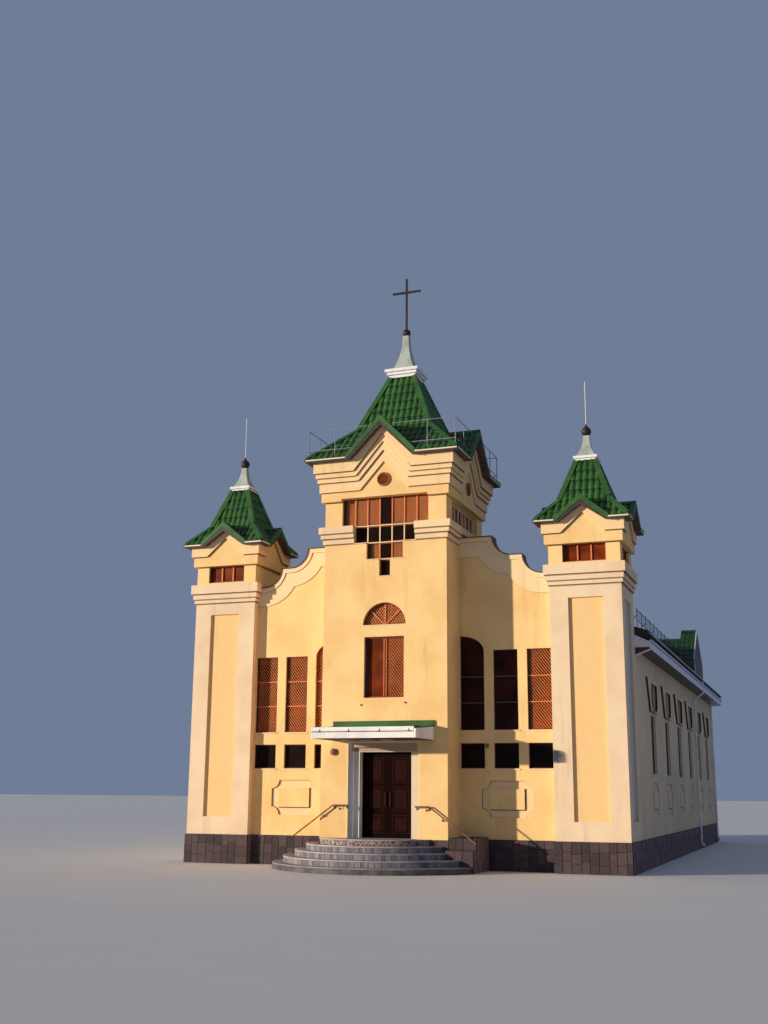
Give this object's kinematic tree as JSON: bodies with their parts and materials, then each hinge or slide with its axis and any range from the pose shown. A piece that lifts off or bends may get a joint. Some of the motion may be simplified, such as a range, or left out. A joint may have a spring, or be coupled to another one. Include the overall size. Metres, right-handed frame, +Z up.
{
  "type": "church building",
  "caption": "Towered church front with scroll parapets, cross-shaped window, canopied double door on round steps, and a long gabled hall behind.",
  "frame": {"origin": "on the ground at the middle of the plan", "axes": "+Z up, the entrance front looks along -Y, +X is the viewer's right seen from the front"},
  "size_m": [14.8, 29.87, 18.9],
  "materials": {
    "render_cream": "matte",
    "render_pale": "matte",
    "render_trim": "matte",
    "step_stone": "rough",
    "floor_stone": "satin",
    "roof_green": "satin",
    "metal_white": "satin",
    "metal_zinc": "satin",
    "metal_dark": "satin",
    "window_brown": "gloss",
    "door_wood": "satin"
  },
  "bodies": {
    "building": {"left_tower_shaft": "render_pale", "left_tower_belfry_glazing": "window_brown", "left_tower_head": "render_cream", "left_tower_roof": "roof_green", "left_tower_pinnacle_base": "metal_white", "left_tower_spire": "metal_zinc", "right_tower_shaft": "render_pale", "right_tower_belfry_glazing": "window_brown", "right_tower_head": "render_cream", "right_tower_roof": "roof_green", "right_tower_pinnacle_base": "metal_white", "right_tower_spire": "metal_zinc", "tower_front_pier_left": "render_cream", "tower_front_pier_right": "render_cream", "tower_front_wall": "render_cream", "tower_side_wall_left": "render_cream", "tower_side_wall_right": "render_cream", "tower_back_wall": "render_cream", "tower_cross_window": "window_brown", "tower_lunette_window": "window_brown", "tower_tall_window": "window_brown", "tower_band_glazing": "window_brown", "tower_cornice": "render_trim", "tower_head": "render_cream", "tower_roof": "roof_green", "tower_pinnacle_base": "metal_white", "tower_spire": "metal_zinc", "tower_ball_and_cross": "metal_dark", "portal_surround": "render_pale", "door_frame": "door_wood", "left_wing_wall": "render_cream", "left_wing_glazing": "window_brown", "right_wing_wall": "render_cream", "right_wing_glazing": "window_brown", "nave_wall_left": "render_cream", "nave_wall_right": "render_cream", "nave_glazing_left": "window_brown", "nave_glazing_right": "window_brown", "nave_eaves_left": "metal_white", "nave_eaves_right": "metal_white", "nave_rear_wall": "render_cream", "nave_glazing_rear": "window_brown", "nave_roof_left": "roof_green", "nave_roof_right": "roof_green", "cross_gable_left": "roof_green", "cross_gable_right": "roof_green", "floor_slab": "floor_stone", "step_1": "step_stone", "step_2": "step_stone", "step_3": "step_stone", "step_4": "step_stone", "landing": "step_stone", "planter": "step_stone", "canopy": "metal_white", "handrail_left": "metal_dark", "handrail_right": "metal_dark"},
    "door_left": {"door_leaf_left": "door_wood"},
    "door_right": {"door_leaf_right": "door_wood"}
  },
  "joints": [
    {"name": "door_left_hinge", "type": "hinge", "parent": "building", "child": "door_left", "pos_m": [-0.762, -12.304, 0.875], "axis": [0, 0, -1], "range_deg": [0, 90]},
    {"name": "door_right_hinge", "type": "hinge", "parent": "building", "child": "door_right", "pos_m": [0.762, -12.304, 0.875], "axis": [0, 0, 1], "range_deg": [0, 90]}
  ]
}
